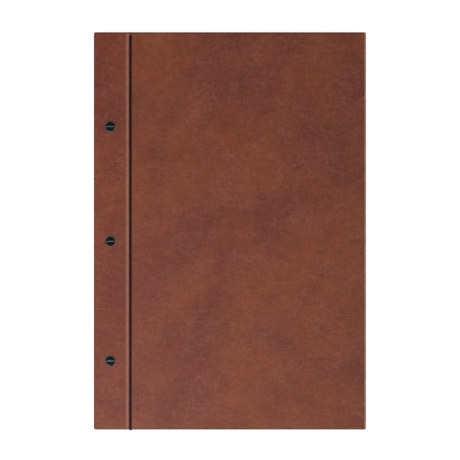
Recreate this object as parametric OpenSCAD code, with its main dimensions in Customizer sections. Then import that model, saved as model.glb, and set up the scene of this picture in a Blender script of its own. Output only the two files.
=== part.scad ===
// Post-bound scrapbook album, lying closed on its back cover. Millimetres.
// +X runs from the spine edge to the fore edge, +Y to the head and +Z out of the front cover.
// The origin is at the centre of the album's outline, on the surface that it lies on.

/* [Cover] */
// Height of both covers, tail to head
cover_h = 366; // [300:1:420]
// Width of the binding strip that the posts clamp
strip_w = 32.6; // [28:0.1:45]
// Width of the hinge groove between strip and panel
groove_w = 2.2; // [2:0.1:4]
// Width of the cover panel that opens
panel_w = 215.9; // [150:0.1:300]
// Radius of the covers' four corners
corner_r = 1.8; // [1:0.1:2.5]
// Radius of the strip's shoulder where it rolls into the groove
shoulder_r = 3; // [2:0.1:3]

/* [Layers] */
// Thickness of the leather on the face and the edges
leather_t = 1; // [0.8:0.1:1.2]
// Thickness of the leather where it is pared and turned in
turn_in_t = 0.5; // [0.4:0.1:0.8]
// Thickness of the greyboard inside each cover
board_t = 2.2; // [1.8:0.1:3]
// Thickness of the cloth lining on the inside
lining_t = 0.3; // [0.2:0.05:0.5]
// Width of the leather turn-in round the panel's inside
turn_in_w = 15; // [10:1:25]
// Leather left showing round the linings
lining_margin = 4; // [2:0.5:8]
// How far the hinge cloth reaches on to each board
hinge_cloth_reach = 6; // [4:0.5:8]

/* [Leaves] */
// Number of leaves
leaf_count = 12; // [6:1:16]
// Thickness of a leaf's card
card_t = 0.5; // [0.3:0.05:0.6]
// Cover left showing beyond the leaves at the head, tail and fore edge
overhang = 5; // [3:0.5:10]
// Distance of the leaves' score line past the middle of the groove
score_offset = 5; // [4.6:0.1:10]

/* [Binding posts] */
// Height of each post above the cover's middle, from the head down
post_y = [95.8, -9.7, -119.7]; // [-150:0.1:150]
// Distance of the posts from the spine edge
post_x = 15.4; // [10:0.1:18]
// Diameter of the screw and post heads
head_d = 10; // [8:0.1:12]
// Thickness of the screw and post heads
head_t = 1; // [0.8:0.1:1.5]
// Outer diameter of the post's barrel
barrel_d = 5; // [4.8:0.1:5.2]
// Diameter of the screw's thread
thread_d = 4; // [3.5:0.1:4.1]
// Length of the screw below its head
screw_l = 6.5; // [5:0.5:8]
// Length of thread engaged when the album is closed, which is 6 turns of 0.7 mm
engaged_l = 4.2; // [3.5:0.7:4.9]

/* [Hidden] */
$fn = 64;
CORNER_STEPS = 6;                  // flats on a rounded corner
SHOULDER_STEPS = 10;               // flats on the strip's shoulder
EDGE_GAP = 0.5;                    // leaves set in from the spine edge
SCORE_GAP = 0.4;                   // card removed each side of a score line
STUB_SETBACK = 1;                  // stubs' folded ply stops short of the groove
HOLE_R = barrel_d / 2 + 0.25;      // post holes in strips and stubs
BORE_R = thread_d / 2 + 0.05;      // the barrel's bore round the screw
BORE_SPARE = 2;                    // bore left below the screw's tip
SLOT_L = 7.6;                      // driver slot in each head
SLOT_W = 0.9;
SLOT_D = 0.3;
HEAD_EDGE = [[1, 0.35], [0.86, 0.82], [0.6, 1]];  // head's rim, as shares of its radius and thickness
HEAD_CAP = 2.5;                    // length of the leather cap that closes the groove at the head
HEAD_CAP_DROP = 0.5;               // how far that cap lies below the cover's face
PAST = 1;                          // how far a cutting solid runs past what it cuts

cover_w = strip_w + groove_w + panel_w;
cover_t = leather_t + board_t + turn_in_t + lining_t;
pitch = 2 * card_t;
block_t = leaf_count * pitch + card_t;

x_spine = -cover_w / 2;
x_strip = x_spine + strip_w;       // the groove's side on the strip
x_panel = x_strip + groove_w;      // the groove's side on the panel
x_fore = cover_w / 2;
x_hinge = (x_strip + x_panel) / 2;
x_score = x_hinge + score_offset;
y_end = cover_h / 2;
leaf_y = y_end - overhang;

z_back = head_t;                   // outer face of the back cover
z_block = z_back + cover_t;        // lowest face of the stubs
z_front = z_block + block_t;       // inner face of the front cover
z_top = z_front + cover_t;         // outer face of the front cover

ROWS = ["top", "middle", "bottom"];
LEAVES = [for (i = [1:leaf_count]) str(i < 10 ? "0" : "", i)];
SIDES = ["front", "back"];

LEATHER = "saddlebrown";
CARD = "ivory";
CLOTH = "black";
BOARD = "darkgray";
METAL = "dimgray";

// Points of a rectangle with rounded corners, from (x0, y0) to (x1, y1).
function rounded(x0, y0, x1, y1, r) = [
    for (c = [[x1 - r, y1 - r, 0], [x0 + r, y1 - r, 90], [x0 + r, y0 + r, 180], [x1 - r, y0 + r, 270]],
        i = [0:CORNER_STEPS])
        [c[0], c[1]] + r * [cos(c[2] + 90 * i / CORNER_STEPS), sin(c[2] + 90 * i / CORNER_STEPS)]
];

// Points of the strip's section, x to the right and y out of the cover's face, with one rolled shoulder.
function shoulder_section(x0, x1, z0, z1, r) = concat(
    [[x0, z0], [x1, z0]],
    [for (i = [0:SHOULDER_STEPS])
        [x1 - r, z1 - r] + r * [cos(90 * i / SHOULDER_STEPS), sin(90 * i / SHOULDER_STEPS)]],
    [[x0, z1]]
);

// A flat sheet between two corners, square-cornered.
module sheet(x0, x1, y, z0, t) {
    translate([x0, -y, z0]) cube([x1 - x0, 2 * y, t]);
}

// A section drawn in x and z, run from tail to head.
module run_along_y(section, y) {
    translate([0, y, 0]) rotate([90, 0, 0]) linear_extrude(2 * y) polygon(section);
}

// The three post holes, from z0 up to z1.
module post_holes(z0, z1) {
    for (y = post_y)
        translate([x_spine + post_x, y, z0 - PAST]) cylinder(r = HOLE_R, h = z1 - z0 + 2 * PAST);
}

// Puts a cover, drawn with its inner face at z = 0 and its outer face up, on the front or the back.
module place(side) {
    if (side == "front") translate([0, 0, z_front]) children();
    else translate([0, 0, z_block]) mirror([0, 0, 1]) children();
}

// Leather wrapped right round the strip's board.
module strip_leather() {
    color(LEATHER) difference() {
        intersection() {
            run_along_y(shoulder_section(x_spine, x_strip, lining_t, cover_t, shoulder_r), y_end);
            linear_extrude(cover_t) polygon(rounded(x_spine, -y_end, x_strip + PAST, y_end, corner_r));
        }
        run_along_y(board_section(), y_end - leather_t);
        post_holes(0, cover_t);
    }
}

function board_section() = shoulder_section(x_spine + leather_t, x_strip - leather_t,
    lining_t + turn_in_t, cover_t - leather_t, shoulder_r - leather_t);

module strip_board() {
    color(BOARD) difference() {
        run_along_y(board_section(), y_end - leather_t);
        post_holes(0, cover_t);
    }
}

module strip_lining() {
    color(CLOTH) difference() {
        sheet(x_spine + lining_margin, x_strip - hinge_cloth_reach, y_end - lining_margin, 0, lining_t);
        post_holes(0, cover_t);
    }
}

// The leather that loops down between the boards, closed near the surface at the head.
module hinge_leather() {
    color(LEATHER) {
        sheet(x_strip, x_panel, y_end, lining_t, leather_t);
        translate([x_strip, y_end - HEAD_CAP, lining_t + leather_t])
            cube([groove_w, HEAD_CAP, cover_t - lining_t - leather_t - HEAD_CAP_DROP]);
    }
}

module hinge_cloth() {
    color(CLOTH) sheet(x_strip - hinge_cloth_reach, x_panel + hinge_cloth_reach, y_end, 0, lining_t);
}

// Leather over the panel, turned in on three sides, and left open inside for the infill card.
module panel_leather() {
    color(LEATHER) difference() {
        translate([0, 0, lining_t]) linear_extrude(cover_t - lining_t)
            polygon(rounded(x_panel, -y_end, x_fore, y_end, corner_r));
        panel_core();
        translate([0, 0, -PAST]) panel_window(turn_in_t + lining_t + 2 * PAST);
    }
}

module panel_core() {
    sheet(x_panel + leather_t, x_fore - leather_t, y_end - leather_t, lining_t + turn_in_t, board_t);
}

module panel_window(t) {
    sheet(x_panel + leather_t, x_fore - turn_in_w, y_end - turn_in_w, 0, t);
}

module panel_board() {
    color(BOARD) panel_core();
}

module panel_infill() {
    color(CARD) translate([0, 0, lining_t]) panel_window(turn_in_t);
}

module panel_lining() {
    color(CLOTH) sheet(x_panel + hinge_cloth_reach, x_fore - lining_margin, y_end - lining_margin, 0, lining_t);
}

// Bottom of leaf i, counted from the back; each leaf lies on its stub's folded ply.
function leaf_z(i) = z_block + (i - 1) * pitch + card_t;

// The part of a leaf that the posts clamp: the card, and under it the ply folded back from the spine edge.
module stub(i) {
    z = leaf_z(i);
    color(CARD) difference() {
        union() {
            sheet(x_spine + EDGE_GAP, x_score - SCORE_GAP, leaf_y, z, card_t);
            sheet(x_spine + EDGE_GAP, x_strip - STUB_SETBACK, leaf_y, z - card_t, card_t);
        }
        post_holes(z - card_t, z + card_t);
    }
}

module spacer_strip() {
    color(CARD) difference() {
        sheet(x_spine + EDGE_GAP, x_strip - STUB_SETBACK, leaf_y, z_front - card_t, card_t);
        post_holes(z_front - card_t, z_front);
    }
}

module leaf(i) {
    color(CARD) sheet(x_score + SCORE_GAP, x_fore - overhang, leaf_y, leaf_z(i), card_t);
}

// Low domed head with a short driver slot, standing on z = 0.
module head() {
    difference() {
        rotate_extrude() polygon(concat([[0, 0], [head_d / 2, 0]],
            [for (p = HEAD_EDGE) [p[0] * head_d / 2, p[1] * head_t]], [[0, head_t]]));
        translate([-SLOT_L / 2, -SLOT_W / 2, head_t - SLOT_D]) cube([SLOT_L, SLOT_W, SLOT_D + PAST]);
    }
}

module screw(y) {
    color(METAL) translate([x_spine + post_x, y, z_top]) {
        head();
        translate([0, 0, -screw_l]) cylinder(d = thread_d, h = screw_l);
    }
}

// Barrel with its head underneath, bored from the top for the screw.
module post(y) {
    barrel_top = z_top - screw_l + engaged_l;
    color(METAL) translate([x_spine + post_x, y, 0]) {
        translate([0, 0, head_t]) mirror([0, 0, 1]) head();
        difference() {
            translate([0, 0, head_t]) cylinder(d = barrel_d, h = barrel_top - head_t);
            translate([0, 0, z_top - screw_l - BORE_SPARE])
                cylinder(r = BORE_R, h = engaged_l + BORE_SPARE + PAST);
        }
    }
}

for (side = SIDES) {
    place(side) strip_leather();
    place(side) strip_board();
    place(side) strip_lining();
    place(side) hinge_leather();
    place(side) hinge_cloth();
    place(side) panel_leather();
    place(side) panel_board();
    place(side) panel_infill();
    place(side) panel_lining();
}
for (i = [1:leaf_count]) {
    stub(i);
    leaf(i);
}
spacer_strip();
for (k = [0:2]) {
    screw(post_y[k]);
    post(post_y[k]);
}
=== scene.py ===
"""The looks of a post-bound leather scrapbook album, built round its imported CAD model.

Lengths below are millimetres unless a name says otherwise. Meshes are made in the CAD model's own frame:
+X from the spine edge to the fore edge, +Y to the head, +Z out of the front cover.
"""

import math

import bmesh
import bpy
import numpy as np
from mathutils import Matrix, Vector, noise


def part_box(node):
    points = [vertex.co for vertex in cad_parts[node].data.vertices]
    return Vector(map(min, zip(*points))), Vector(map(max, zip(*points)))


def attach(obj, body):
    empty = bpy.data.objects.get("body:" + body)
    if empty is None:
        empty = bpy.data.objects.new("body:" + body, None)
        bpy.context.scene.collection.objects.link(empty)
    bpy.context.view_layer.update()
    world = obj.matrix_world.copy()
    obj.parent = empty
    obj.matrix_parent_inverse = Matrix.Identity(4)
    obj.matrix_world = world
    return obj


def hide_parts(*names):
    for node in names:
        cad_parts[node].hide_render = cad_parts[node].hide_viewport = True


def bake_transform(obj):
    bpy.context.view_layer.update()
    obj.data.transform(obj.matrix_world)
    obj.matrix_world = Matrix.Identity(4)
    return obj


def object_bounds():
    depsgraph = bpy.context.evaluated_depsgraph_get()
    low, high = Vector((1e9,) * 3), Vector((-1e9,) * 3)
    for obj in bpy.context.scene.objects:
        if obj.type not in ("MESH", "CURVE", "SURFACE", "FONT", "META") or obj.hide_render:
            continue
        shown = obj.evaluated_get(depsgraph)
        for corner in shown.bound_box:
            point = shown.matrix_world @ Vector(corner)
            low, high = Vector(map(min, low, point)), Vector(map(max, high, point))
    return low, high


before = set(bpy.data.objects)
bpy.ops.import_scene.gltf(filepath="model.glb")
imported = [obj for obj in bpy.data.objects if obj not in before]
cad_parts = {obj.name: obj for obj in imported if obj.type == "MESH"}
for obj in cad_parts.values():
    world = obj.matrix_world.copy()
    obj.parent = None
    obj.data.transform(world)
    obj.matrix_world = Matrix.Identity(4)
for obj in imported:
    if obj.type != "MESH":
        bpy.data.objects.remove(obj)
cad_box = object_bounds()

MM = 0.001
SIDES = ("front", "back")
ROWS = ("top", "middle", "bottom")
LEAVES = sorted(n[-2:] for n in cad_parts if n.startswith("leaf_"))


# ---------------------------------------------------------------- places, from the frame

def box(node):
    """Lowest and highest corner of a CAD node, in millimetres."""
    low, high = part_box(node)
    return np.array(low) / MM, np.array(high) / MM


STRIP_LOW, STRIP_HIGH = box("front_strip_leather")
PANEL_LOW, PANEL_HIGH = box("front_panel_leather")
CLOTH_LOW, CLOTH_HIGH = box("front_hinge_cloth")
BACK_PANEL_LOW, BACK_PANEL_HIGH = box("back_panel_leather")
X_SPINE, X_STRIP = STRIP_LOW[0], STRIP_HIGH[0]
X_PANEL, X_FORE = PANEL_LOW[0], PANEL_HIGH[0]
X_HINGE = (X_STRIP + X_PANEL) / 2
Y_END = PANEL_HIGH[1]
SKIN_T = PANEL_HIGH[2] - PANEL_LOW[2]  # leather's inner face to its outer face
LINING_T = CLOTH_HIGH[2] - CLOTH_LOW[2]
X_SCORE = (box("stub_01")[1][0] + box("leaf_01")[0][0]) / 2
POSTS = [sum(box("screw_" + r))[:2] / 2 for r in ROWS]
HEAD_R = (box("screw_top")[1] - box("screw_top")[0])[0] / 2
HEAD_T = box("screw_top")[1][2] - PANEL_HIGH[2]
HOLE_R = 2.75                      # post holes in the strips and leaves
DRILL_L = 4.0                      # how much of a post's length is drilled through cloth or card
THREAD_R = 2.0                     # the screw's thread
THREAD_PITCH = 0.7
BARREL_R = 2.5                     # the post's barrel
BORE_R = 2.05                      # and its bore


def outward(side):
    """Height of the leather's inner face, and +1 or -1 for the way out of the cover."""
    return (PANEL_LOW[2], 1) if side == "front" else (BACK_PANEL_HIGH[2], -1)


# ---------------------------------------------------------------- mesh helpers

def spaced(a, b, step):
    """Evenly spaced values from a to b, about step apart."""
    return np.linspace(a, b, max(1, round((b - a) / step)) + 1)


def merged(*parts):
    """Sorted values of all the parts, with repeats left out."""
    return np.unique(np.round(np.concatenate(parts), 4))


def edged(low, high, steps, step):
    """Grid lines from low to high: some steps in from each edge, then about step apart."""
    return merged(low + steps, high - steps, spaced(low + steps[-1], high - steps[-1], step))


def smooth_step(a, b, x):
    """0 up to a and 1 from b on, with a smooth rise between them."""
    t = np.clip((x - a) / (b - a), 0, 1)
    return t * t * (3 - 2 * t)


def ripple(x, y, scale, seed):
    """Smooth noise from about -1 to 1 over a plan, repeatable for a seed."""
    flat = [noise.noise(Vector((a / scale, b / scale, 7.3 * seed))) for a, b in zip(x.ravel(), y.ravel())]
    return np.array(flat).reshape(x.shape)


def new_object(name, verts, faces):
    """A mesh object from points in millimetres, without the points that no face uses."""
    verts = np.asarray(verts, float)
    used = np.unique(np.concatenate([np.asarray(f) for f in faces]))
    renumber = np.full(len(verts), -1)
    renumber[used] = np.arange(len(used))
    mesh = bpy.data.meshes.new(name)
    mesh.from_pydata((verts[used] * MM).tolist(), [], [[int(renumber[i]) for i in f] for f in faces])
    obj = bpy.data.objects.new(name, mesh)
    bpy.context.scene.collection.objects.link(obj)
    face_out(obj)
    return obj


def edit(obj, work):
    """Runs work on the object's mesh as a bmesh."""
    bm = bmesh.new()
    bm.from_mesh(obj.data)
    work(bm)
    bm.to_mesh(obj.data)
    bm.free()
    obj.data.update()


def face_out(obj):
    """Turns the faces of a closed mesh to look outwards."""
    def work(bm):
        bmesh.ops.recalc_face_normals(bm, faces=bm.faces)
        if bm.calc_volume(signed=True) < 0:
            bmesh.ops.reverse_faces(bm, faces=bm.faces)
    edit(obj, work)


def finish(obj, material, crease_deg=35):
    """Smooth shading with creases at sharp edges, the rest position as an attribute, and the material."""
    def shade(bm):
        limit = math.radians(crease_deg)
        for f in bm.faces:
            f.smooth = True
        for e in bm.edges:
            e.smooth = e.calc_face_angle(0) < limit
    edit(obj, shade)
    rest = obj.data.attributes.new("rest_mm", "FLOAT_VECTOR", "POINT")
    rest.data.foreach_set("vector", (coordinates(obj) / MM).ravel().astype(np.float32))
    obj.data.materials.append(material)
    return obj


def coordinates(obj):
    """A mesh's points, in metres."""
    co = np.zeros(len(obj.data.vertices) * 3, np.float32)
    obj.data.vertices.foreach_get("co", co)
    return co.reshape(-1, 3).astype(float)


def add_value(obj, name, values):
    """A number for each point, which a material can read."""
    attribute = obj.data.attributes.new(name, "FLOAT", "POINT")
    attribute.data.foreach_set("value", np.asarray(values, np.float32))


def apply_modifiers(obj):
    """Makes the mesh what its modifiers make of it."""
    graph = bpy.context.evaluated_depsgraph_get()
    mesh = bpy.data.meshes.new_from_object(obj.evaluated_get(graph))
    obj.modifiers.clear()
    obj.data = mesh


def cut(obj, cutter):
    """Takes the cutter's volume away from obj, and removes the cutter."""
    modifier = obj.modifiers.new("cut", "BOOLEAN")
    modifier.operation = "DIFFERENCE"
    modifier.solver = "EXACT"
    modifier.object = cutter
    apply_modifiers(obj)
    bpy.data.objects.remove(cutter)


def join(name, *parts):
    """One object from several, each part kept as its own closed shell."""
    verts, faces, count = [], [], 0
    for part in parts:
        verts.append(coordinates(part) / MM)
        faces += [[count + i for i in p.vertices] for p in part.data.polygons]
        count += len(part.data.vertices)
        bpy.data.objects.remove(part)
    return new_object(name, np.concatenate(verts), faces)


def lathe(name, profile, place, segments=64):
    """Revolves a profile of (radius, height) points about a vertical axis at place.

    A point at radius 0 is a pole.
    """
    x, y, z = place
    verts, rings = [], []
    for r, h in profile:
        if r == 0:
            rings.append([len(verts)] * segments)
            verts.append((x, y, z + h))
        else:
            rings.append([len(verts) + k for k in range(segments)])
            turn = [2 * math.pi * k / segments for k in range(segments)]
            verts += [(x + r * math.cos(a), y + r * math.sin(a), z + h) for a in turn]
    return new_object(name, verts, bridged(rings))


def bridged(rings):
    """Faces between each ring of point numbers and the next, as triangles where a ring is a single point."""
    faces = []
    for a, b in zip(rings, rings[1:]):
        for k in range(len(a)):
            n = (k + 1) % len(a)
            face = [a[k], a[n], b[n], b[k]]
            faces.append(list(dict.fromkeys(face)))
    return faces


def slab(name, xs, ys, low, high, plan=None):
    """A closed sheet over a grid of x and y, between two heights that are functions of the grid."""
    x, y = np.meshgrid(xs, ys)
    z_low, z_high = low(x, y), high(x, y)
    if plan:
        x, y = plan(x, y)
    layers = np.concatenate([np.stack([x, y, z], -1).reshape(-1, 3) for z in (z_high, z_low)])
    top = np.arange(x.size).reshape(x.shape)
    bottom = top + x.size
    faces = quads(top) + quads(bottom) + bridged([perimeter(top), perimeter(bottom)])
    return new_object(name, layers, faces)


def quads(grid, keep=None):
    """The faces of a grid of point numbers, where keep says so for a cell."""
    rows, columns = grid.shape
    return [
        [grid[i, j], grid[i, j + 1], grid[i + 1, j + 1], grid[i + 1, j]]
        for i in range(rows - 1)
        for j in range(columns - 1)
        if keep is None or keep[i, j]
    ]


def perimeter(grid):
    """The grid's outermost point numbers, once round."""
    return [*grid[0, :-1], *grid[:-1, -1], *grid[-1, :0:-1], *grid[:0:-1, 0]]


# ---------------------------------------------------------------- materials

class Nodes:
    """A material's nodes, made one call at a time. Coordinates are millimetres on the resting piece."""

    def __init__(self, name, on_cad=False):
        self.material = bpy.data.materials.new(name)
        self.material.use_nodes = True
        self.tree = self.material.node_tree
        self.shader = self.tree.nodes["Principled BSDF"]
        if on_cad:
            place = self.add("ShaderNodeTexCoord").outputs["Object"]
            self.place = self.vector("SCALE", place, scale=1 / MM)
        else:
            self.place = self.add("ShaderNodeAttribute", attribute_name="rest_mm").outputs["Vector"]

    def add(self, kind, **settings):
        """A new node of a kind, with its settings."""
        node = self.tree.nodes.new(kind)
        for key, value in settings.items():
            setattr(node, key, value)
        return node

    def put(self, socket, value):
        """Links a socket to another node's, or sets it to a plain value."""
        if isinstance(value, bpy.types.NodeSocket):
            self.tree.links.new(value, socket)
        else:
            socket.default_value = value

    def vector(self, operation, a, b=None, scale=None):
        """Arithmetic on places."""
        node = self.add("ShaderNodeVectorMath", operation=operation)
        self.put(node.inputs[0], a)
        if b is not None:
            self.put(node.inputs[1], b)
        if scale is not None:
            node.inputs["Scale"].default_value = scale
        return node.outputs[0]

    def maths(self, operation, a, b=0.0, clamp=False):
        """Arithmetic on numbers, held to 0 to 1 if clamp says so."""
        node = self.add("ShaderNodeMath", operation=operation, use_clamp=clamp)
        self.put(node.inputs[0], a)
        self.put(node.inputs[1], b)
        return node.outputs[0]

    def attribute(self, name):
        """A number that the mesh holds for each point."""
        return self.add("ShaderNodeAttribute", attribute_name=name).outputs["Fac"]

    def axis_of(self, axis):
        """One coordinate of the place, by its number."""
        node = self.add("ShaderNodeSeparateXYZ")
        self.put(node.inputs[0], self.place)
        return node.outputs[axis]

    def stretched(self, x, y):
        """The place, divided by a size along x and y, and by the smaller of them along z."""
        return self.vector("MULTIPLY", self.place, (1 / x, 1 / y, 1 / min(x, y)))

    def noise(self, at, detail=3.0, roughness=0.55, distortion=0.0):
        """Noise from 0 to 1, at a stretched place or with blotches about so many millimetres across."""
        node = self.add("ShaderNodeTexNoise")
        self.put(node.inputs["Vector"], self.stretched(at, at) if isinstance(at, (int, float)) else at)
        node.inputs["Scale"].default_value = 1.0
        node.inputs["Detail"].default_value = detail
        node.inputs["Roughness"].default_value = roughness
        node.inputs["Distortion"].default_value = distortion
        return node.outputs["Fac"]

    def moved(self, place, size, by, detail=3.0):
        """A place drawn aside by noise about size across, so that a pattern there wanders."""
        aside = self.vector("SCALE", self.grey(self.noise(size, detail)), scale=by)
        return self.vector("ADD", place, aside)

    def cells(self, place, feature="F1"):
        """Distance to the nearest point, or to the nearest edge, of the cells about a place."""
        node = self.add("ShaderNodeTexVoronoi", feature=feature)
        self.put(node.inputs["Vector"], place)
        node.inputs["Scale"].default_value = 1.0
        return node.outputs["Distance"]

    def net(self, place, width, patches):
        """Lines along the cells' edges, from 0 to 1, as strong as patches says."""
        line = self.span(self.cells(place, "DISTANCE_TO_EDGE"), 0.0, width, 1.0, 0.0)
        return self.maths("MULTIPLY", line, patches)

    def span(self, value, low, high, to_low=0.0, to_high=1.0, smooth=True):
        """Carries low..high over to to_low..to_high, and holds it outside."""
        node = self.add("ShaderNodeMapRange", interpolation_type="SMOOTHSTEP" if smooth else "LINEAR")
        self.put(node.inputs["Value"], value)
        for key, number in zip(("From Min", "From Max", "To Min", "To Max"), (low, high, to_low, to_high)):
            node.inputs[key].default_value = number
        return node.outputs["Result"]

    def mix(self, share, a, b, blend="MIX"):
        """Colour a with a share of colour b mixed in, or multiplied with it."""
        node = self.add("ShaderNodeMix", data_type="RGBA", blend_type=blend)
        self.put(node.inputs[0], share)
        self.put(node.inputs[6], a)
        self.put(node.inputs[7], b)
        return node.outputs[2]

    def grey(self, value):
        """A number as a colour, to multiply with."""
        node = self.add("ShaderNodeCombineColor")
        for socket in node.inputs:
            self.put(socket, value)
        return node.outputs[0]

    def bump(self, height, depth_mm, under=None):
        """Normals for a height from 0 to 1, over those of another bump."""
        node = self.add("ShaderNodeBump")
        node.inputs["Strength"].default_value = 1.0
        node.inputs["Distance"].default_value = depth_mm * MM
        self.put(node.inputs["Height"], height)
        if under is not None:
            self.put(node.inputs["Normal"], under)
        return node.outputs["Normal"]

    def done(self, colour, roughness, normal=None, **values):
        """Wires the shader up. Sockets in values are plain numbers, with _ for a space in the name."""
        self.put(self.shader.inputs["Base Color"], colour)
        self.put(self.shader.inputs["Roughness"], roughness)
        if normal is not None:
            self.put(self.shader.inputs["Normal"], normal)
        for key, value in values.items():
            self.shader.inputs[key.replace("_", " ")].default_value = value
        return self.material


def srgb(r, g, b):
    """A colour given as it looks on screen, 0 to 255, as linear RGBA."""
    def linear(c):
        c /= 255
        return c / 12.92 if c <= 0.04045 else ((c + 0.055) / 1.055) ** 2.4
    return (linear(r), linear(g), linear(b), 1.0)


def dyed_with_light_falloff(n):
    """Dye in clouds that differ in hue and depth, with the binding strip deeper, and the cover paler towards
    the spine: partly a drift in the dye, partly painted light falloff.
    """
    clouds = n.span(n.noise(64, 4.0, 0.55, 0.3), 0.36, 0.64)
    colour = n.mix(clouds, srgb(106, 49, 38), srgb(120, 58, 34))
    yellower = n.span(n.noise(n.stretched(13, 10), 3.0, 0.6), 0.35, 0.65, 0.0, 0.4)
    colour = n.mix(yellower, colour, srgb(110, 61, 31))
    redder = n.span(n.noise(n.stretched(21, 16), 3.0, 0.6), 0.40, 0.68, 0.0, 0.3)
    colour = n.mix(redder, colour, srgb(108, 50, 45))
    on_strip = n.span(n.axis_of(0), X_STRIP, X_PANEL, 1, 0)
    colour = n.mix(on_strip, colour, (0.93, 0.84, 0.81, 1), "MULTIPLY")
    # lighter towards the spine and darker towards the fore edge: partly dye, partly painted light falloff
    dye_and_light_drift = n.span(n.axis_of(0), X_PANEL, X_FORE, 1.18, 0.93, False)
    tone = n.span(n.noise(46, 5.0, 0.85), 0.35, 0.65, 0.89, 1.11, False)
    return n.mix(1.0, colour, n.grey(n.maths("MULTIPLY", dye_and_light_drift, tone)), "MULTIPLY")


def painted_sheen_and_fibres(n, colour):
    """Painted sheen in fine pale specks, and a faint weave of paler fibres along and across the hide, mixed
    towards the same sheen colour.
    """
    # painted sheen: fine specks mixed towards a pale colour, standing in for glints on the grain
    sheen_specks = n.span(n.noise(n.stretched(4.8, 3.6), 3.0, 1.0), 0.3, 0.7, -0.07, 0.15, False)
    haze = n.span(n.noise(34, 4.0, 0.8), 0.35, 0.65, -0.035, 0.035, False)
    along = n.span(n.noise(n.stretched(1.3, 6.0), 1.0), 0.3, 0.7, -0.03, 0.03, False)
    across = n.span(n.noise(n.stretched(9.0, 1.3), 1.0), 0.3, 0.7, -0.045, 0.045, False)
    fibres = n.maths("ADD", n.maths("ADD", along, across), haze)
    return n.mix(n.maths("ADD", sheen_specks, fibres, True), colour, srgb(172, 116, 99))


def painted_light_and_edge_tones(n, colour):
    """Painted highlights on the shoulder and along the fore edge, painted shade in the groove, and the spine
    edge, head and tail made darker.
    """
    # painted highlight along the strip's shoulder, paler where light from the right would catch it
    shoulder_highlight = n.maths("MULTIPLY", n.attribute("shoulder"), n.span(n.noise(5, 4.0), 0.3, 0.7, 0.75, 1.0))
    colour = n.mix(shoulder_highlight, colour, srgb(147, 94, 77))
    # painted highlight along the fore edge, the edge that faces the light
    handled = n.maths("MULTIPLY", n.attribute("fore_edge"), n.span(n.noise(9, 3.0), 0.3, 0.7, 0.4, 0.75))
    colour = n.mix(handled, colour, srgb(168, 116, 102))
    # painted shade: the groove's colour darkened to near black-brown
    colour = n.mix(n.attribute("groove"), colour, srgb(44, 16, 9))
    # the spine edge, head and tail made darker
    edge_darkening = n.maths("MULTIPLY", n.attribute("edge"), n.span(n.noise(8, 3.0), 0.3, 0.7, 0.35, 0.6))
    return n.mix(edge_darkening, colour, srgb(70, 30, 22))


def leather_relief(n, lines):
    """Pebbled grain with pores and slower swells under it, and lines pressed in."""
    wobble = n.vector("SCALE", n.grey(n.noise(2.5, 2.0)), scale=0.7)
    grain = n.cells(n.vector("ADD", n.stretched(1.0, 1.1), wobble))
    pores = n.cells(n.vector("ADD", n.stretched(0.5, 0.55), wobble))
    height = n.maths("ADD", n.maths("MULTIPLY", pores, -0.35), n.maths("MULTIPLY", grain, -0.45))
    height = n.maths("SUBTRACT", height, lines)
    swells = n.bump(n.noise(11, 4.0, 0.6), 0.12)
    return n.bump(height, 0.04, n.bump(n.noise(2.8, 2.0, 0.6), 0.06, swells))


def leather_material():
    """Oiled brown leather: clouded dye, paler towards the spine partly as painted light falloff, specks of
    painted sheen, lines of three sizes, painted highlights on the shoulder and the fore edge, painted shade
    in the groove, and darker spine, head and tail edges.
    """
    n = Nodes("leather_brown")
    # a few stray creases, a finer net of wrinkles, and dark lines between the cells of the pebbled grain
    crease = n.net(n.moved(n.stretched(38, 17), 20, 1.8), 0.022, n.span(n.noise(14, 2.0), 0.58, 0.67))
    wrinkle = n.net(n.moved(n.stretched(8.5, 4.2), 9, 1.5), 0.15, n.span(n.noise(19, 3.0, 0.7), 0.45, 0.66))
    pebble = n.net(n.moved(n.stretched(3.6, 2.8), 3.0, 0.9, 2.0), 0.22,
                   n.span(n.noise(27, 3.0, 0.7), 0.40, 0.62, 0.05, 0.24))
    colour = painted_sheen_and_fibres(n, dyed_with_light_falloff(n))
    colour = n.mix(n.maths("MULTIPLY", crease, 0.4), colour, srgb(152, 98, 80))
    colour = n.mix(n.maths("MULTIPLY", wrinkle, 0.2), colour, srgb(160, 104, 86))
    colour = painted_light_and_edge_tones(n, n.mix(pebble, colour, srgb(80, 38, 28)))
    lines = n.maths("ADD", n.maths("MULTIPLY", wrinkle, 0.7), n.maths("MULTIPLY", pebble, 3.0))
    normal = leather_relief(n, n.maths("ADD", crease, lines))
    roughness = n.span(n.noise(3.2, 4.0, 0.8), 0.3, 0.7, 0.40, 0.62, False)
    dulled = n.maths("MAXIMUM", n.attribute("groove"), n.attribute("edge"))
    roughness = n.maths("ADD", roughness, n.maths("MULTIPLY", dulled, 0.3), True)
    return n.done(colour, roughness, normal, Specular_IOR_Level=0.35)


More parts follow.
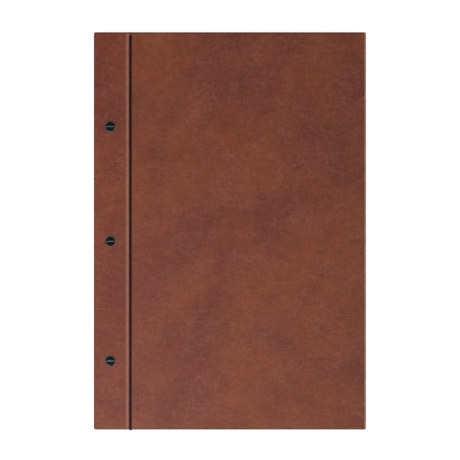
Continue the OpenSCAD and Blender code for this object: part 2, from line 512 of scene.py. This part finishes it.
def cloth_material(name, colour, thread):
    """Plain-woven book cloth of threads so far apart, some of them thicker."""
    n = Nodes(name)
    warp = n.maths("SINE", n.maths("MULTIPLY", n.axis_of(0), 2 * math.pi / thread))
    weft = n.maths("SINE", n.maths("MULTIPLY", n.axis_of(1), 2 * math.pi / thread))
    checks = n.maths("MULTIPLY", warp, weft)
    slub = n.noise(n.stretched(0.6, 9.0), 3.0)
    thick_warp = n.span(n.noise(n.stretched(1.5, 60), 2.0, 0.7), 0.35, 0.65, -0.13, 0.13)
    thick_weft = n.span(n.noise(n.stretched(45, 1.5), 2.0, 0.7), 0.35, 0.65, -0.13, 0.13)
    handled = n.span(n.noise(70, 3.0, 0.6), 0.35, 0.65, -0.06, 0.06)
    threads = n.maths("ADD", thick_warp, thick_weft)
    woven = n.maths("ADD", n.span(checks, -1, 1, 0.78, 1.1, False), n.span(slub, 0.3, 0.7, -0.14, 0.14))
    shade = n.maths("ADD", woven, n.maths("ADD", threads, handled))
    tint = n.mix(1.0, colour, n.grey(shade), "MULTIPLY")
    weave = n.bump(n.maths("ADD", checks, n.maths("MULTIPLY", slub, 0.8)), 0.03)
    normal = n.bump(threads, 0.12, weave)
    return n.done(tint, n.span(slub, 0.2, 0.8, 0.75, 0.95), normal, Specular_IOR_Level=0.25,
                  Sheen_Weight=0.25, Sheen_Roughness=0.5)


def card_material(name, colour, on_cad=False):
    """Uncoated card: faint fibres, a soft tooth and a very slight cloudiness."""
    n = Nodes(name, on_cad)
    cloud = n.span(n.noise(40, 3.0), 0.3, 0.7, 0.97, 1.02)
    fibres = n.span(n.noise(n.stretched(0.35, 2.6), 3.0, 0.7, 0.6), 0.25, 0.75, 0.955, 1.03)
    flecks = n.span(n.cells(n.stretched(5.5, 5.5)), 0.02, 0.07, 0.80, 1.0)
    shade = n.maths("MULTIPLY", n.maths("MULTIPLY", cloud, fibres), flecks)
    tint = n.mix(1.0, colour, n.grey(shade), "MULTIPLY")
    normal = n.bump(n.noise(0.3, 3.0, 0.7), 0.02, n.bump(n.noise(3.0, 2.0), 0.02))
    return n.done(tint, n.span(n.noise(2.0), 0.3, 0.7, 0.78, 0.9), normal, Specular_IOR_Level=0.3)


def black_metal_material():
    """Black-lacquered steel with worn specks, and a painted grey highlight round the rim of each head."""
    n = Nodes("metal_black")
    wear = n.span(n.noise(1.1, 4.0, 0.65), 0.5, 0.78, 0.0, 0.12)
    # painted highlight: the rim of each head turned grey all the way round
    rim_highlight = n.maths("MULTIPLY", n.attribute("rim_highlight"), n.span(n.noise(1.6, 3.0), 0.3, 0.7, 0.55, 0.95))
    tint = n.mix(n.maths("ADD", wear, rim_highlight, True), srgb(12, 16, 18), srgb(88, 92, 92))
    normal = n.bump(n.noise(0.25, 3.0), 0.003)
    return n.done(tint, n.span(wear, 0, 0.12, 0.26, 0.4), normal, Specular_IOR_Level=0.3)


def slot_highlight_material():
    """Grey steel at the bottom of the driver slots, as a painted highlight."""
    n = Nodes("metal_slot_highlight")
    scratches = n.noise(n.stretched(2.0, 0.12), 3.0, 0.7)
    tint = n.mix(n.span(scratches, 0.3, 0.7), srgb(78, 82, 83), srgb(98, 102, 102))
    normal = n.bump(scratches, 0.008)
    return n.done(tint, n.span(scratches, 0.3, 0.7, 0.55, 0.7), normal, Metallic=0.1)


def floor_material():
    """White that glows just enough to look pure white."""
    n = Nodes("floor_white", True)
    tint = n.mix(n.span(n.noise(300, 2.0), 0.3, 0.7), srgb(96, 96, 96), srgb(100, 100, 100))
    return n.done(tint, 0.9, Specular_IOR_Level=0.05, Emission_Color=(1, 1, 1, 1), Emission_Strength=0.96)


LEATHER = leather_material()
LINING = cloth_material("cloth_lining", srgb(52, 36, 30), 0.42)
HINGE_CLOTH = cloth_material("cloth_hinge", srgb(26, 20, 18), 0.5)
CARD = card_material("card_ivory", srgb(236, 228, 208))
BOARD = card_material("greyboard", srgb(120, 112, 104), True)
INFILL = card_material("card_infill", srgb(205, 196, 178), True)
METAL = black_metal_material()
SLOT_HIGHLIGHT = slot_highlight_material()
WHITE = floor_material()


# ---------------------------------------------------------------- leather skins

CORNER_R = 1.8                     # the covers' corners, seen from the front
ROLL_W, ROLL_H = 1.9, 1.5          # how far the face rolls over at the outer edges
UNDER_W, UNDER_H = 0.9, 0.7        # and how far the turned-in side does
SHOULDER_W, SHOULDER_H = 3.7, 2.0  # the strip's roll down into the groove
GROOVE_D = 2.6                     # depth of the groove below the face
RIM_R = 0.9                        # the panel's edge along the groove
LEATHER_T = 0.95                   # thickness over the boards
HINGE_T = 0.55                     # thickness at the groove, where it is pared
TURN_IN_T = 0.45                   # thickness where it is turned in
TURN_IN_W = 15.0
HEAD_CAP = 2.4                     # length of the cap that closes the groove at the head
CAP_SHARE = 0.16                   # share of the groove's depth left over that cap
TAIL_SHARE = 0.85                  # share of the groove's depth at the tail's very edge
BULGE = 0.16                       # leather raised round a pressed-in screw head
EDGE_STEPS = np.array([0, 0.1, 0.35, 0.8, 1.3, 1.8, 2.3, 3.0, 4.2, 6.5])  # grid lines in from an edge
LEAST_STEP = 0.04                  # grid lines nearer each other than this are made one


def groove_section():
    """x and depth below the face, from the strip's shoulder through the groove to the panel's face."""
    turn = np.radians(np.linspace(0, 90, 9))
    shoulder = [(X_STRIP - SHOULDER_W * (1 - math.sin(a)), SHOULDER_H * (1 - math.cos(a))) for a in turn]
    half = (X_PANEL - X_STRIP) / 2
    loop = [(X_HINGE - half * math.cos(a), SHOULDER_H + (GROOVE_D - SHOULDER_H) * math.sin(a))
            for a in np.radians(np.linspace(0, 180, 9))[1:]]
    rim = [(X_PANEL + RIM_R * (1 - math.cos(a)), RIM_R * (1 - math.sin(a)))
           for a in np.radians(np.linspace(0, 90, 6))]
    return np.array(shoulder + loop + [(X_PANEL, (SHOULDER_H + RIM_R) / 2)] + rim)


def cover_grid():
    """The skin's columns, as x on the face, depth, and x on the underside, and its rows, as y."""
    groove = groove_section()
    face_left = merged(X_SPINE + EDGE_STEPS, spaced(X_SPINE + EDGE_STEPS[-1], groove[0, 0], 1.3))[:-1]
    fore_steps = np.append(EDGE_STEPS, TURN_IN_W)
    face_right = merged(X_FORE - fore_steps, spaced(groove[-1, 0], X_FORE - TURN_IN_W, 3.4))[1:]
    x = np.concatenate([face_left, groove[:, 0], face_right])
    depth = np.concatenate([face_left * 0, groove[:, 1], face_right * 0])
    under = x.copy()
    first, last = len(face_left), len(face_left) + len(groove) - 1
    under[first:last + 1] = np.linspace(x[first], x[last], len(groove))
    screws = [spaced(p[1] - 11, p[1] + 11, 1.1) for p in POSTS]
    ends = [s * (Y_END - np.append(fore_steps, HEAD_CAP + np.array([0, 0.15, 0.4, 0.6]))) for s in (-1, 1)]
    y = merged(*ends, *screws, spaced(-Y_END + TURN_IN_W, Y_END - TURN_IN_W, 3.4))
    far_enough = np.insert(np.diff(y) > LEAST_STEP, 0, True)
    return x, depth, under, y[far_enough]


def corner_pull(x_past, y_past):
    """How far a point in a square corner moves along x and y to lie on the round one.

    x_past and y_past are how far it lies past the start of the corner's arc.
    """
    a, b = np.clip(x_past, 0, None), np.clip(y_past, 0, None)
    reach = np.maximum(np.hypot(a, b), 1e-9)
    share = np.where((a > 0) & (b > 0), np.maximum(a, b) / reach, 1.0)
    return a * (1 - share), b * (1 - share)


def round_corners(x, y, inset=0.0):
    """Moves a grid's corner points on to round corners. Returns x, y and how far in from the outline."""
    radius = CORNER_R - inset
    x_mid, x_half = (X_SPINE + X_FORE) / 2, (X_FORE - X_SPINE) / 2 - inset
    y_half = Y_END - inset
    a, b = corner_pull(np.abs(x - x_mid) - (x_half - radius), np.abs(y) - (y_half - radius))
    edge = np.minimum(x_half - np.abs(x - x_mid), y_half - np.abs(y))
    return x - np.sign(x - x_mid) * a, y - np.sign(y) * b, edge


def squeeze(v, low, high, inset):
    """Draws the outermost values of a grid line in by inset, and leaves those past the corners alone."""
    keep = (CORNER_R - inset) / CORNER_R
    v = np.where(v < low + CORNER_R, low + inset + (v - low) * keep, v)
    return np.where(v > high - CORNER_R, high - inset - (high - v) * keep, v)


def roll(edge, width, height):
    """Drop of a rolled edge, a distance in from the outline."""
    t = np.clip(1 - edge / width, 0, 1)
    return height * (1 - np.sqrt(1 - t * t))


def groove_share(y):
    """Share of the groove's full depth along the cover: less over the head's cap and at the tail."""
    head = smooth_step(Y_END - HEAD_CAP - 0.6, Y_END - HEAD_CAP, y)
    tail = smooth_step(-Y_END + 3.0, -Y_END, y)
    return 1 - (1 - CAP_SHARE) * head - (1 - TAIL_SHARE) * tail


def bulges(x, y):
    """Leather pushed up round the screw and post heads."""
    total = np.zeros_like(x)
    for px, py in POSTS:
        r = np.hypot(x - px, y - py)
        total += BULGE * np.exp(-((r - HEAD_R - 1.3) / 1.1) ** 2) * smooth_step(HEAD_R, HEAD_R + 0.6, r)
    return total


def skin_sheets(side, seed):
    """Points of the skin's four layers: its face, its underside, and the inner side of each."""
    x_face, depth, x_under, ys = cover_grid()
    z_inner, out = outward(side)
    y = np.repeat(ys[:, None], len(x_face), 1)
    drop = depth[None, :] * groove_share(y)
    in_groove = depth[None, :] / GROOVE_D
    thickness = LEATHER_T - (LEATHER_T - HINGE_T) * smooth_step(0.3, 0.9, in_groove)

    def sheet(x_row, height, inset):
        x = np.repeat(squeeze(x_row, X_SPINE, X_FORE, inset)[None, :], len(ys), 0)
        yy = squeeze(y, -Y_END, Y_END, inset)
        x, yy, edge = round_corners(x, yy, inset)
        return np.stack([x, yy, z_inner + out * height(x, yy, edge)], -1)

    def face(x, yy, edge):
        surface = SKIN_T - drop - roll(edge, ROLL_W, ROLL_H) * (1 - 0.85 * in_groove)
        waves = 0.045 * ripple(x, yy, 38, seed) + 0.02 * ripple(x, yy, 9, seed + 3)
        return surface + (waves + bulges(x, yy)) * smooth_step(0, 4, edge) * (1 - in_groove)

    def behind_face(x, yy, edge):
        return SKIN_T - drop - thickness - roll(edge, ROLL_W, ROLL_H) * 0.2 * (1 - in_groove)

    return [
        sheet(x_face, face, 0),
        sheet(x_under, lambda x, yy, edge: roll(edge, UNDER_W, UNDER_H), 0),
        sheet(x_face, behind_face, LEATHER_T),
        sheet(x_under, lambda x, yy, edge: TURN_IN_T + 0 * x, LEATHER_T),
    ]


def skin_faces():
    """Faces of the four layers, joined round the outline and round the window between the turn-ins."""
    x_under, ys = cover_grid()[2:]
    ids = np.arange(x_under.size * ys.size).reshape(ys.size, -1)
    face, under, behind_face, behind_under = [ids + k * ids.size for k in range(4)]
    in_x = (x_under > X_PANEL + LEATHER_T - 0.01) & (x_under < X_FORE - TURN_IN_W + 0.01)
    in_y = np.abs(ys) < Y_END - TURN_IN_W + 0.01
    window = in_y[:, None] & in_x[None, :]
    kept = ~(window[:-1, :-1] & window[1:, 1:])
    rows, columns = np.where(in_y)[0], np.where(in_x)[0]
    hem = [perimeter(g[rows[0]:rows[-1] + 1, columns[0]:columns[-1] + 1]) for g in (under, behind_under)]
    return (
        quads(face) + quads(under, kept) + quads(behind_face) + quads(behind_under, kept)
        + bridged([perimeter(face), perimeter(under)])
        + bridged([perimeter(behind_face), perimeter(behind_under)])
        + bridged(hem)
    )


def leather_skin(side, seed):
    """A cover's one piece of leather: face, groove, edges, and the part turned in over the boards."""
    points = np.concatenate([sheet.reshape(-1, 3) for sheet in skin_sheets(side, seed)])
    skin = new_object(side + "_leather_skin", points, skin_faces())
    z_inner, out = outward(side)
    cut(skin, post_drills(z_inner + out * SKIN_T / 2, SKIN_T + 2))
    finish(skin, LEATHER, 40)
    shade_skin(skin, side)
    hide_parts(side + "_strip_leather", side + "_hinge_leather", side + "_panel_leather")
    return skin


def post_drills(z_mid, length):
    """Cutters for the three post holes."""
    profile = [(0, -length / 2), (HOLE_R, -length / 2), (HOLE_R, length / 2), (0, length / 2)]
    drills = [lathe("drill", profile, (p[0], p[1], z_mid), 48) for p in POSTS]
    return join("drills", *drills)


def shade_skin(skin, side):
    """Where the groove gets painted shade, where the shoulder and the fore edge get a painted highlight, and
    where the edges are darker.
    """
    x, y, z = (coordinates(skin) / MM).T
    z_inner, out = outward(side)
    depth = SKIN_T - out * (z - z_inner)
    # painted shade in the groove, beginning just past the strip's lit wall
    across = smooth_step(X_STRIP, X_STRIP + 0.7, x) * (1 - smooth_step(X_PANEL + 0.25, X_PANEL + 0.75, x))
    pressed = smooth_step(0.0, 0.6, depth) * smooth_step(3.6, 2.9, depth)
    open_groove = smooth_step(0.3, 0.7, groove_share(y))
    add_value(skin, "groove", across * pressed * open_groove)
    # painted highlight on the shoulder that rolls down into the groove
    stretched = smooth_step(X_STRIP - 3.7, X_STRIP - 2.1, x)
    stretched *= 1 - smooth_step(X_STRIP - 0.5, X_STRIP + 0.2, x)
    add_value(skin, "shoulder", stretched * (depth < GROOVE_D + 0.4))
    # darker towards the spine edge, the head and the tail
    edge = np.minimum(x - X_SPINE, Y_END - np.abs(y))
    add_value(skin, "edge", 1 - smooth_step(0.4, 2.1, edge))
    # painted highlight along the fore edge
    add_value(skin, "fore_edge", 1 - smooth_step(0.6, 2.4, X_FORE - x))


# ---------------------------------------------------------------- linings and hinge cloth

def lining(side, part, body, seed):
    """Cloth glued over the inside of a board, its raw edges pressed thin."""
    low, high = box(side + "_" + part + "_lining")
    z_glued = low[2] if side == "back" else high[2]
    out = 1 if side == "back" else -1  # towards the leaves
    steps = np.array([0, 0.15, 0.5, 1.2])
    xs = edged(low[0], high[0], steps, 4.0)
    ys = edged(low[1], high[1], steps, 4.0)

    def free_side(x, y):
        edge = np.minimum.reduce([x - low[0], high[0] - x, y - low[1], high[1] - y])
        puff = LINING_T - roll(edge, 0.5, 0.17) + 0.02 * ripple(x, y, 12, seed) * smooth_step(0, 3, edge)
        return z_glued + out * puff

    def glued_side(x, y):
        return z_glued + 0 * x

    cloth = slab(side + "_" + part + "_lining_cloth", xs, ys, glued_side, free_side)
    if part == "strip":
        cut(cloth, post_drills(z_glued, DRILL_L))
    finish(cloth, LINING)
    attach(cloth, body)
    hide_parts(side + "_" + part + "_lining")


CLOTH_TAB = 1.0                    # how far the hinge cloth's tab stands out past the tail
CLOTH_SETBACK = 1.6                # and how far short of the edges the rest of it stops


def hinge_cloth(side):
    """Black cloth along the inside of the groove, with a narrow tab that shows below the tail."""
    low, high = box(side + "_hinge_cloth")
    across = merged(spaced(low[0], X_STRIP - 1, 1.2), spaced(X_STRIP - 1, X_PANEL + 1, 0.22),
                    spaced(X_PANEL + 1, high[0], 1.2))
    ends = np.array([0.2, 0.6])
    along = merged(spaced(low[1], high[1], 4.0), low[1] + ends, high[1] - ends)
    x, y = np.meshgrid(across, along)
    middle = 1 - smooth_step(1.2, 1.5, np.abs(x - X_HINGE))
    tail = low[1] + CLOTH_SETBACK - (CLOTH_SETBACK + CLOTH_TAB) * middle
    head = high[1] - CLOTH_SETBACK
    share = (y - low[1]) / (high[1] - low[1])
    y_cut = tail + (head - tail) * share
    cloth = slab(side + "_hinge_cloth_strip", across, along,
                 lambda x, y: low[2] + 0 * x, lambda x, y: high[2] + 0 * x, lambda x, y: (x, y_cut))
    finish(cloth, HINGE_CLOTH)
    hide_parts(side + "_hinge_cloth")
    return cloth


# ---------------------------------------------------------------- leaves

PAGE_WAVE = 0.13                   # how far a page strays from flat
SCORE_D = 0.12                     # depth of the crease that a page turns on
SCORE_HALF = 1.2                   # half the width over which it bends
CUT_EDGE_H = 0.13                  # how far a cut edge of card is pressed round
PAGE_CORNER_R = 2.5                # round corners at a page's fore edge


def leaf_blank():
    """A flat leaf at the first leaf's height: a ply folded back under the stub, three holes and a score."""
    leaf_low, leaf_high = box("leaf_01")
    card_t = leaf_high[2] - leaf_low[2]
    ply_end = box("spacer_strip")[1][0]
    x0, x1 = box("stub_01")[0][0], leaf_high[0]
    fold = x0 + np.array([0, 0.03, 0.1, 0.22, 0.4, 0.6])
    bend = X_SCORE + spaced(-SCORE_HALF, SCORE_HALF, 0.15)
    xs = merged(fold, spaced(fold[-1], ply_end - 0.02, 4.5), [ply_end + 0.02], bend,
                spaced(bend[-1], x1, 7.0), x1 - np.array([0.5, 1.2, 2.0]))
    y1 = leaf_high[1]
    ys = edged(-y1, y1, np.array([0, 0.04, 0.12, 0.25, 1.2, 2.0]), 8.0)
    middle = leaf_low[2]

    def cut_edge(y):
        return roll(y1 - np.abs(y), 0.2, CUT_EDGE_H)

    def fold_round(x):
        t = np.clip(1 - (x - x0) / card_t, 0, 1)
        return card_t * np.sqrt(1 - t * t)

    def score(x):
        return SCORE_D * np.exp(-((x - X_SCORE) / 0.3) ** 2)

    def top(x, y):
        return middle + fold_round(x) - score(x) - cut_edge(y)

    def bottom(x, y):
        ply = middle - fold_round(x) + cut_edge(y)
        page = middle - score(x) + cut_edge(y) / 2
        return np.where(x < ply_end, ply, page)

    blank = slab("blank", xs, ys, bottom, top)
    cut(blank, post_drills(middle, DRILL_L))
    return blank


def round_page_corners(points):
    """Draws the two corners at the fore edge of a page in on to an arc."""
    x1, y1 = box("leaf_01")[1][:2]
    a, b = corner_pull(points[:, 0] - (x1 - PAGE_CORNER_R), np.abs(points[:, 1]) - (y1 - PAGE_CORNER_R))
    points[:, 0] -= a
    points[:, 1] -= np.sign(points[:, 1]) * b


def leaves():
    """One sheet of card for each leaf and its stub, with a score line between them."""
    blank = leaf_blank()
    faces = [list(p.vertices) for p in blank.data.polygons]
    flat = coordinates(blank) / MM
    round_page_corners(flat)
    bpy.data.objects.remove(blank)
    x1 = box("leaf_01")[1][0]
    for k, number in enumerate(LEAVES):
        points = flat.copy()
        free = smooth_step(X_SCORE + 3, x1, points[:, 0])
        points[:, 2] += box("leaf_" + number)[0][2] - box("leaf_01")[0][2]
        points[:, 2] += PAGE_WAVE * free * ripple(points[:, 0], points[:, 1], 90, k + 1)
        leaf = finish(new_object("leaf_sheet_" + number, points, faces), CARD)
        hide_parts("stub_" + number, "leaf_" + number)
        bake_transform(leaf)


def spacer():
    """The strip of card that fills the binding under the front cover."""
    low, high = box("spacer_strip")
    steps = np.array([0, 0.08, 0.25])
    xs = edged(low[0], high[0], steps, 5.0)
    ys = edged(low[1], high[1], steps, 8.0)

    def soft(x):
        return roll(np.minimum(x - low[0], high[0] - x), 0.15, 0.1)

    strip = slab("spacer_card", xs, ys, lambda x, y: low[2] + soft(x), lambda x, y: high[2] - soft(x))
    cut(strip, post_drills(low[2], DRILL_L))
    finish(strip, CARD)
    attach(strip, "binding")
    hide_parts("spacer_strip")


# ---------------------------------------------------------------- screws and posts

SLOT_L, SLOT_W, SLOT_D = 7.6, 0.9, 0.3
THREAD_D = 0.36                    # depth of the thread
HEAD_ROOT = 0.3                    # how far the shank and the barrel run on into their heads
BORE_SPARE = 2.0                   # bore left beyond the screw's tip
HEAD_PROFILE = [                   # a head's rim and dome, as shares of its radius and thickness
    (1.0, 0.0), (1.0, 0.35), (0.985, 0.48), (0.93, 0.70),
    (0.865, 0.84), (0.84, 0.87), (0.7, 0.93), (0.4, 0.985),
]


def screw_head(name, place, out):
    """A low domed head with a driver slot across it, standing out of the cover."""
    rim = [(r * HEAD_R, out * h * HEAD_T) for r, h in HEAD_PROFILE]
    head = lathe(name, [(0, 0), (0.9 * HEAD_R, 0)] + rim + [(0, out * HEAD_T)], place, 72)
    x, y, z = place
    half_l, half_w = SLOT_L / 2, SLOT_W / 2
    z_floor, z_past = z + out * (HEAD_T - SLOT_D), z + out * (HEAD_T + 1)
    turn = np.radians(np.linspace(-90, 90, 7))
    end = [(half_l - half_w * 0.5 + half_w * 0.5 * math.cos(a), half_w * math.sin(a)) for a in turn]
    outline = end + [(-a, -b) for a, b in end]
    ring = [(x + a, y + b, h) for h in (z_floor, z_past) for a, b in outline]
    count = len(outline)
    walls = [[k, (k + 1) % count, count + (k + 1) % count, count + k] for k in range(count)]
    ends = [list(range(count)), list(range(count, 2 * count))]
    cut(head, new_object("slot_cutter", ring, walls + ends))
    bevel = head.modifiers.new("bevel", "BEVEL")
    bevel.width = 0.06 * MM
    bevel.segments = 2
    bevel.limit_method = "ANGLE"
    bevel.angle_limit = math.radians(40)
    apply_modifiers(head)
    return head


def threaded_shank(name, place, length):
    """A shank with a helical thread and a plain tip, hanging below place."""
    x, y, z = place
    segments, rings_per_turn = 32, 10
    count = round(length / THREAD_PITCH * rings_per_turn)
    verts = []
    for i in range(count + 1):
        h = length * i / count
        tip = smooth_step(length - 0.5, length, h)
        for k in range(segments):
            angle = 2 * math.pi * k / segments
            phase = (h / THREAD_PITCH + k / segments) % 1.0
            crest = 1 - abs(2 * phase - 1)
            r = THREAD_R - THREAD_D * (1 - min(1.0, 1.35 * crest)) - 0.3 * tip
            verts.append((x + r * math.cos(angle), y + r * math.sin(angle), z - h))
    rings = [[i * segments + k for k in range(segments)] for i in range(count + 1)]
    return new_object(name, verts, bridged(rings) + [rings[0], rings[-1]])


def paint_head_highlights(obj, place, out):
    """Marks the rim of a head for its painted grey highlight, and gives the bottom of its driver slot the
    grey of a painted highlight.
    """
    x, y, z = (coordinates(obj) / MM).T
    r = np.hypot(x - place[0], y - place[1]) / HEAD_R
    above = out * (z - place[2])
    # painted highlight round the rim
    add_value(obj, "rim_highlight", smooth_step(0.83, 0.9, r) * (above > 0.3 * HEAD_T))
    obj.data.materials.append(SLOT_HIGHLIGHT)
    # the slot's floor gets the grey of a painted highlight
    floor = (place[2] + out * (HEAD_T - SLOT_D)) * MM
    for p in obj.data.polygons:
        if abs(p.center[2] - floor) < 0.05 * MM and abs(p.center[1] - place[1] * MM) < SLOT_W * MM:
            p.material_index = 1


def slotted_screw(row, seat, tip):
    """A screw whose head seats on the front strip and whose shank ends at the height tip."""
    px, py, z = seat
    head = screw_head("head", seat, 1)
    shank = threaded_shank("shank", (px, py, z + HEAD_ROOT), z + HEAD_ROOT - tip)
    screw = finish(join("slotted_screw_" + row, head, shank), METAL, 30)
    paint_head_highlights(screw, seat, 1)
    return screw


def binding_post(row, seat, mouth_z, tip):
    """A post whose head seats on the back strip, bored from its mouth to below the screw's tip."""
    head = screw_head("head", seat, -1)
    bore_end = tip - seat[2] - BORE_SPARE
    mouth = mouth_z - seat[2]
    tube = [(0, -HEAD_ROOT), (BARREL_R - 0.1, -HEAD_ROOT), (BARREL_R, 0.2), (BARREL_R, mouth - 0.2),
            (BARREL_R - 0.2, mouth), (BORE_R + 0.15, mouth), (BORE_R, mouth - 0.15),
            (BORE_R, bore_end), (0, bore_end - 0.8)]
    barrel = lathe("barrel", tube, seat, 56)
    post = finish(join("binding_post_" + row, head, barrel), METAL, 30)
    paint_head_highlights(post, seat, -1)
    return post


def fasteners():
    """Three slotted screws from the front, each in a threaded post from the back."""
    for row, (px, py) in zip(ROWS, POSTS):
        tip = box("screw_" + row)[0][2]
        screw = slotted_screw(row, (px, py, PANEL_HIGH[2]), tip)
        post = binding_post(row, (px, py, BACK_PANEL_LOW[2]), box("post_" + row)[1][2], tip)
        for piece, node in ((screw, "screw_" + row), (post, "post_" + row)):
            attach(piece, node)
            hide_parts(node)


# ---------------------------------------------------------------- the album


def paint(node, material):
    """Gives a CAD piece a material of its own."""
    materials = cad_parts[node].data.materials
    materials.clear()
    materials.append(material)


def cover(side, index):
    """A cover's leather and hinge cloth, and its linings, boards and infill."""
    body = side + "_cover"
    for flexible in (leather_skin(side, 11 + 20 * index), hinge_cloth(side)):
        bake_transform(flexible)
    lining(side, "strip", "binding", 5 + index)
    lining(side, "panel", body, 8 + index)
    paint(side + "_strip_board", BOARD)
    paint(side + "_panel_board", BOARD)
    paint(side + "_panel_infill", INFILL)


for index, side in enumerate(SIDES):
    cover(side, index)
leaves()
spacer()
fasteners()


# ---------------------------------------------------------------- floor, light and camera

STUDIO_R = 15000                   # radius of the floor, and of the white wall that closes the view past it
VIEW_W = 423.1                     # width of the view at the front cover's face
VIEW_X, VIEW_Y = 0.05, 0.85        # its middle


def make_studio():
    """A white floor, and a far white wall that only the camera sees."""
    z = cad_box[0][2] / MM
    floor = lathe("floor", [(0, 0), (STUDIO_R, 0)], (0, 0, z), 96)
    wall = lathe("wall", [(STUDIO_R, -10), (STUDIO_R, STUDIO_R)], (0, 0, z), 96)
    for piece in (floor, wall):
        piece.data.materials.append(WHITE)
    wall.visible_diffuse = False
    wall.visible_glossy = False
    wall.visible_shadow = False


def area_light(name, place, aim, size, power):
    """A soft rectangular light. Places and sizes are metres, power watts."""
    data = bpy.data.lights.new(name, "AREA")
    data.shape = "RECTANGLE"
    data.size, data.size_y = size
    data.energy = power
    light = bpy.data.objects.new(name, data)
    bpy.context.scene.collection.objects.link(light)
    light.location = place
    light.rotation_euler = (Vector(aim) - Vector(place)).to_track_quat("-Z", "Y").to_euler()
    light.visible_camera = False


def make_camera():
    """Straight down on the front cover, through a long lens."""
    data = bpy.data.cameras.new("camera")
    data.lens, data.sensor_width = 100, 36
    data.clip_start, data.clip_end = 0.01, 20
    camera = bpy.data.objects.new("camera", data)
    bpy.context.scene.collection.objects.link(camera)
    distance = VIEW_W * data.lens / data.sensor_width
    camera.location = Vector((VIEW_X, VIEW_Y, PANEL_HIGH[2] + distance)) * MM
    bpy.context.scene.camera = camera


def make_world(strength):
    """Even white light from all round."""
    world = bpy.data.worlds.new("studio")
    world.use_nodes = True
    back = world.node_tree.nodes["Background"]
    back.inputs["Color"].default_value = (1, 1, 1, 1)
    back.inputs["Strength"].default_value = strength
    bpy.context.scene.world = world


make_studio()
make_camera()
make_world(0.11)
area_light("key_right", (2.2, -0.35, 1.35), (0, 0, 0), (1.5, 2.0), 42)
area_light("fill_low", (-0.62, -0.88, 1.0), (-0.05, -0.1, 0), (0.7, 0.7), 18)
area_light("rim_left", (-0.9, 0.9, 0.9), (0, 0, 0), (0.5, 0.5), 1.5)
bpy.context.scene.view_settings.view_transform = "Standard"
